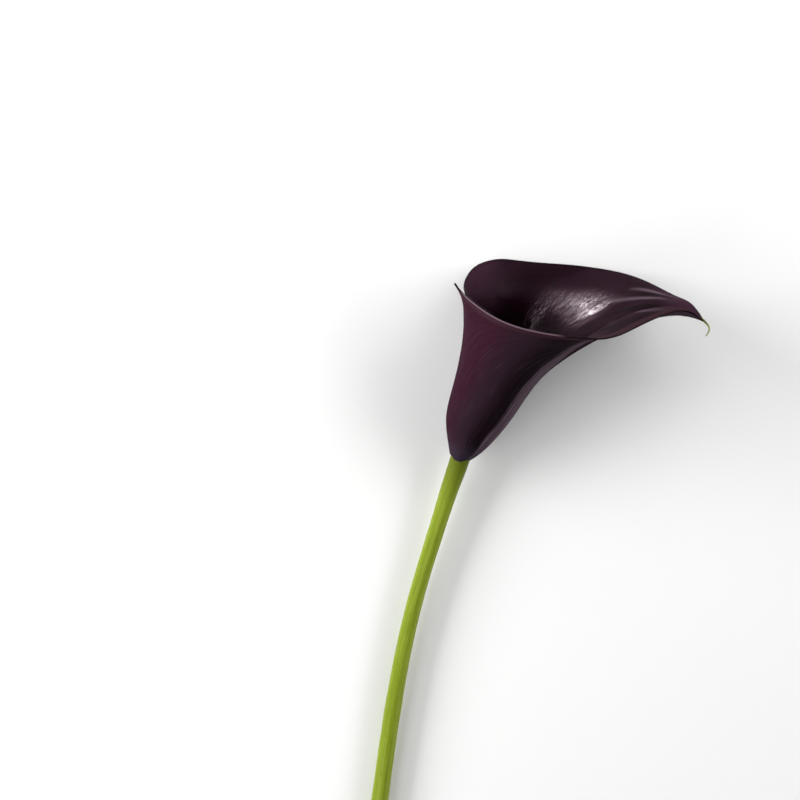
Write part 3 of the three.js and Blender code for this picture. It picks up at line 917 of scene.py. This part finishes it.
# Where the inner face is polished, in shares of the way to the rim and in steps round the fan of
# wrinkles: the throat's end and how much higher it lies for each step, the velvet belt over which the
# limb's polish begins, and how far the crumpling frays that border. The bump is in metres.
THROAT_ENDS_AT = 0.650
THROAT_ENDS_HIGHER_BY = 0.0045
LIMB_POLISH_BEGINS_OVER = 0.09
LIMB_POLISH_STOPS = (0.90, 0.835)
LIMB_POLISH_FROM = (7.5, 11.0)
POLISH_FRAYS_BY = 0.16
CRACKS_DULL_BY = 0.7
DEEP_THROAT = (-0.03, -0.15)
THROAT_POLISH_FROM = (24, 29)
THROAT_POLISH_STOPS = (0.93, 0.78)
PLUM_BUMP = 0.00022


def plum_finish(name, skin, values, crumpling, polishing):
    """Waxy plum skin with lengthwise veins, brownish margins with painted light, and a green tail.

    crumpling is how strongly fine wrinkles show, and polishing how much smoother the polish is.
    """
    painted_edge_highlight = (0.15, 0.10, 0.128, 1)
    brownish_and_painted_light = (0.036, 0.0145, 0.021, 1)
    black_plum = (0.004, 0.001, 0.002, 1)
    olive = (0.10, 0.12, 0.025, 1)
    lime = (0.42, 0.48, 0.20, 1)
    finish = Finish(bpy.data.materials.new(name))

    # side is -1 at the outer margin, 0 at the midrib and 1 at the inner margin. up and edge are the
    # millimetres from the foot and from the nearest edge.
    grain = finish.place("grain")
    up = finish.node("SeparateXYZ", {}, {"Vector": grain}, "Y")
    side = finish.number("side")
    edge = finish.number("edge")
    veins = finish.clouds(grain, (0.55, 16, 1), detail=4, roughness=0.6)
    mottle = finish.clouds(grain, (9, 16, 1), detail=4, roughness=0.55, distortion=0.4)
    specks = finish.clouds(grain, (0.35, 0.5, 1), detail=2)
    colour = skin(finish, side, up, veins, mottle)

    # The near part of the rim is a broad brownish band, browner and with painted light on it, and
    # a fine mauve line along its edge is a painted highlight; the rest of the rim ends in black
    near = finish.fade(side, -0.97, -0.9) * finish.fade(side, -0.012, -0.03)
    lined = finish.fade(side, -0.97, -0.9) * finish.fade(side, -0.32, -0.38)
    band = finish.fade(edge + (veins - 0.5) * 0.8, 3.2, 1.9)
    colour = finish.mix(band * near, colour, brownish_and_painted_light)
    colour = finish.mix(finish.fade(edge, 0.7, 0.1) * (1 - lined) * 0.9, colour, black_plum)
    colour = finish.mix(finish.fade(edge, 0.55, 0.1) * lined * 0.85, colour, painted_edge_highlight)

    # The tail turns olive and then pale green
    tail = finish.number("tail")
    colour = finish.mix(finish.fade(tail, 0.2, 0.42), colour, olive)
    colour = finish.mix(finish.fade(tail, 0.4, 0.75), colour, lime)

    # Crumples run out along the fan, and show where the limb is crumpled
    fan = finish.number("fan")
    fanned = finish.node("CombineXYZ", {}, {"X": fan, "Y": up})
    crumple = finish.clouds(fanned, (0.65, 3.6, 1), detail=3, roughness=0.55, distortion=0.6)

    # The limb and the throat are polished, with velvet along the rim and in a belt between them
    share = finish.number("share")
    frayed = share + (crumple - 0.5) * POLISH_FRAYS_BY
    throat_end = fan * THROAT_ENDS_HIGHER_BY + THROAT_ENDS_AT
    limb = finish.fade(frayed - throat_end, 0.0, LIMB_POLISH_BEGINS_OVER)
    limb = limb * finish.fade(frayed, *LIMB_POLISH_STOPS) * finish.fade(fan, *LIMB_POLISH_FROM)
    limb = limb * (1 - finish.fade(crumple, 0.44, 0.36) * CRACKS_DULL_BY)
    deep = finish.fade(share - throat_end, *DEEP_THROAT)
    throat = deep + (1 - deep) * finish.fade(fan, *THROAT_POLISH_FROM)
    throat = throat * finish.fade(share, *THROAT_POLISH_STOPS)
    polish = limb + (1 - limb) * throat
    crumple = crumple * (finish.number("crumpled") + 0.12)
    height = veins * 0.3 + specks * 0.12 + crumple * crumpling
    unevenness = (mottle - 0.5) * 0.14 + (specks - 0.5) * 0.08
    values["Base Color"] = colour
    values["Roughness"] = values["Roughness"] - polish * polishing + unevenness
    return finish.surface(values, height, PLUM_BUMP)


def outside_skin(finish, side, up, veins, mottle):
    """Wine red towards the outer margin, painted shade by the midrib and painted reflection along it.
    """
    wine = (0.028, 0.0072, 0.0152, 1)
    plum = (0.024, 0.0118, 0.0186, 1)
    painted_core_shade = (0.0078, 0.0036, 0.0060, 1)
    painted_light_grey = (0.07, 0.044, 0.06, 1)
    painted_rib_glints = (0.13, 0.09, 0.115, 1)
    slate = (0.045, 0.027, 0.039, 1)
    dusk = (0.045, 0.033, 0.055, 1)
    place = side + (mottle - 0.5) * 0.06
    colour = finish.mix(finish.fade(place, -0.45, -0.65), plum, wine)
    # Beside the midrib a stripe is painted black: painted shade.
    painted_shade_stripe = finish.fade(place, -0.46, -0.30) * finish.fade(place, 0, -0.2)
    colour = finish.mix(painted_shade_stripe, colour, painted_core_shade)
    # Along the midrib a band is painted pale as a painted reflection, with painted glints on its
    # ribs.
    painted_reflection_band = finish.fade(place, -0.265, -0.22) * finish.fade(place, -0.03, -0.14)
    colour = finish.mix(painted_reflection_band, colour, painted_light_grey)
    ribs = finish.clouds(finish.place("grain"), (0.8, 45, 1), detail=1)
    colour = finish.mix(finish.fade(ribs, 0.5, 0.62) * painted_reflection_band * 0.8, colour, painted_rib_glints)
    colour = finish.mix(finish.fade(veins, 0.48, 0.7) * 0.35, colour, slate)
    # Towards the tip the outer face is painted pale: painted light where it lies in shade.
    colour = finish.mix(finish.fade(up, 90, 104) * 0.8, colour, painted_light_grey)
    return finish.mix(finish.fade(up, 13, 1) * 0.5, colour, dusk)


def inside_skin(finish, side, up, veins, mottle):
    """Painted shade nearly blackens the throat; plum on the limb, wine red towards the inner margin.
    """
    throat = (0.003, 0.0006, 0.0013, 1)
    plum = (0.0125, 0.0028, 0.0072, 1)
    wine = (0.052, 0.021, 0.037, 1)
    paler_tone = (0.13, 0.088, 0.115, 1)
    # Wine red towards the inner margin is partly a redder colour and partly a painted sheen.
    colour = finish.mix(finish.fade(side, 0.42, 0.56), plum, wine)
    # Towards the tip the wine red is painted light.
    colour = finish.mix(finish.fade(up, 98, 112) * 0.8, colour, wine)
    # Down in the throat it is painted almost black: painted shade.
    colour = finish.mix(finish.fade(up, 78, 56), colour, throat)
    colour = finish.mix(finish.fade(mottle, 0.4, 0.8) * 0.4, colour, throat)
    # The limb's ridges are painted pale as a painted sheen, and its troughs black as painted shade.
    painted_sheen_and_shade = finish.number("painted_sheen_and_shade") + (veins - 0.5) * 0.5
    colour = finish.mix(finish.fade(painted_sheen_and_shade, -0.1, -0.7), colour, throat)
    return finish.mix(finish.fade(painted_sheen_and_shade, 0.05, 0.85), colour, paler_tone)


spathe.data.materials.append(plum_finish("satin plum outside", outside_skin, {
    "Roughness": 0.62, "IOR": 1.3, "Specular IOR Level": 0.025,
    "Specular Tint": (1, 0.86, 0.95, 1)}, crumpling=0.0, polishing=0.0))
spathe.data.materials.append(plum_finish("glossy plum inside", inside_skin, {
    "Roughness": 1.0, "IOR": 1.3, "Specular IOR Level": 0.15,
    "Specular Tint": (1, 0.84, 0.94, 1)}, crumpling=1.9, polishing=0.8))
face_count = (columns - 1) * (rows - 1)
on_inside = np.zeros(len(spathe.data.polygons), np.int32)
on_inside[face_count:2 * face_count] = 1
spathe.data.polygons.foreach_set("material_index", on_inside)
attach(spathe, "root")
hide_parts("spathe")

# The table
# A plain pale surface, much wider than the view, that the flower only lies on.

TABLE_HALF = 3.0
TABLE_TOOTH = 0.00002


def table_finish():
    """A matt pale surface with faint clouds and a very fine tooth."""
    pale = (0.86, 0.86, 0.86, 1)
    paler = (0.90, 0.90, 0.895, 1)
    finish = Finish(bpy.data.materials.new("plain pale table"))
    at = finish.node("TexCoord", {}, {}, "Object")
    cloud = finish.clouds(at, (0.3, 0.3, 0.3), detail=2)
    tooth = finish.clouds(at, (0.002, 0.002, 0.002), detail=2)
    colour = finish.mix(cloud, pale, paler)
    values = {"Base Color": colour, "Roughness": 0.62 + cloud * 0.1}
    return finish.surface(values, tooth, TABLE_TOOTH)


mesh = bpy.data.meshes.new("table")
corners = [(x * TABLE_HALF, y * TABLE_HALF, 0) for x, y in ((-1, -1), (1, -1), (1, 1), (-1, 1))]
mesh.from_pydata(corners, [], [(0, 1, 2, 3)])
table = bpy.data.objects.new("table", mesh)
bpy.context.scene.collection.objects.link(table)
table.data.materials.append(table_finish())

# The light
# Large soft boxes stand round the flower, the strongest low on the left, and none hangs overhead. Two
# small ones give the limb its sheen, and the studio's walls glow faintly.

BLOOM_MIDDLE = np.array([0.005, 0.105, 0.03])
LIMB_MIDDLE = np.array([0.024, 0.120, 0.01])
WALL_GLOW = 0.15
CEILING_GLOW = 0.01
WALLS_PALE_AT = 0.1
WALLS_DARK_AT = 0.34

# Label, azimuth and height in degrees, distance, width and height of the box, and watts
SOFT_BOXES = [
    ("left", 170, 22, 0.95, 0.8, 0.4, 12.0),
    ("behind", 90, 38, 1.1, 0.9, 0.5, 2.0),
    ("front_left", -140, 38, 1.1, 0.7, 0.5, 3.5),
    ("right", -10, 30, 1.2, 0.7, 0.5, 5.0),
    ("right_behind", 55, 39, 1.0, 0.4, 0.3, 1.8),
    ("far_right", 30, 30, 1.3, 0.8, 0.5, 7.0)]
BOXES_SEEN_IN_GLOSS = ("front_left", "right_behind")

# Two narrow boxes with honeycomb grids face the limb and show only in its sheen: the same numbers,
# then the angle that the grid lets through
SHEEN_BOXES = [
    ("strip", 126, 10.5, 0.5, 0.06, 0.24, 0.34, 20),
    ("strip_top", 117, 49, 0.5, 0.06, 0.16, 0.035, 14)]


def soft_box(label, middle, azimuth, height, distance, wide, tall, watts):
    """A rectangular light that faces a middle from an azimuth and a height in degrees."""
    turn = math.radians(azimuth)
    rise = math.radians(height)
    direction = np.array([
        math.cos(rise) * math.cos(turn), math.cos(rise) * math.sin(turn), math.sin(rise)])
    lamp = bpy.data.lights.new("soft_box_" + label, "AREA")
    lamp.shape = "RECTANGLE"
    lamp.size = wide
    lamp.size_y = tall
    lamp.energy = watts
    box = bpy.data.objects.new("soft_box_" + label, lamp)
    bpy.context.scene.collection.objects.link(box)
    box.location = middle + direction * distance
    back = Vector(direction)
    box.rotation_euler = back.to_track_quat("Z", "Y").to_euler()
    return box


for label, *numbers in SOFT_BOXES:
    box = soft_box(label, BLOOM_MIDDLE, *numbers)
    box.visible_glossy = label in BOXES_SEEN_IN_GLOSS
for label, *numbers, grid in SHEEN_BOXES:
    box = soft_box(label, LIMB_MIDDLE, *numbers)
    box.visible_diffuse = False
    box.data.spread = math.radians(grid)

studio = Finish(bpy.data.worlds.new("studio"))
way = studio.node("TexCoord", {}, {}, "Generated")
height = studio.node("SeparateXYZ", {}, {"Vector": way}, "Z")
walls = studio.fade(height, WALLS_DARK_AT, WALLS_PALE_AT)
strength = walls * WALL_GLOW + CEILING_GLOW
glow = studio.node("Background", {}, {"Color": (1, 1, 1, 1), "Strength": strength})
studio.node("OutputWorld", {}, {"Surface": glow})
bpy.context.scene.world = studio.owner
bpy.context.scene.view_settings.view_transform = "Standard"

# The camera
# It looks straight down on the laid flower through a long lens, which gives the photograph's upright
# view.

CAMERA_PLACE = (-0.0528, 0.0792, 1.43)
SENSOR = 36
LENS = 157.5
SEES_AS_FAR_AS = 20

camera_data = bpy.data.cameras.new("camera")
camera_data.sensor_width = SENSOR
camera_data.lens = LENS
camera_data.clip_end = SEES_AS_FAR_AS
camera = bpy.data.objects.new("camera", camera_data)
bpy.context.scene.collection.objects.link(camera)
camera.location = CAMERA_PLACE
bpy.context.scene.camera = camera
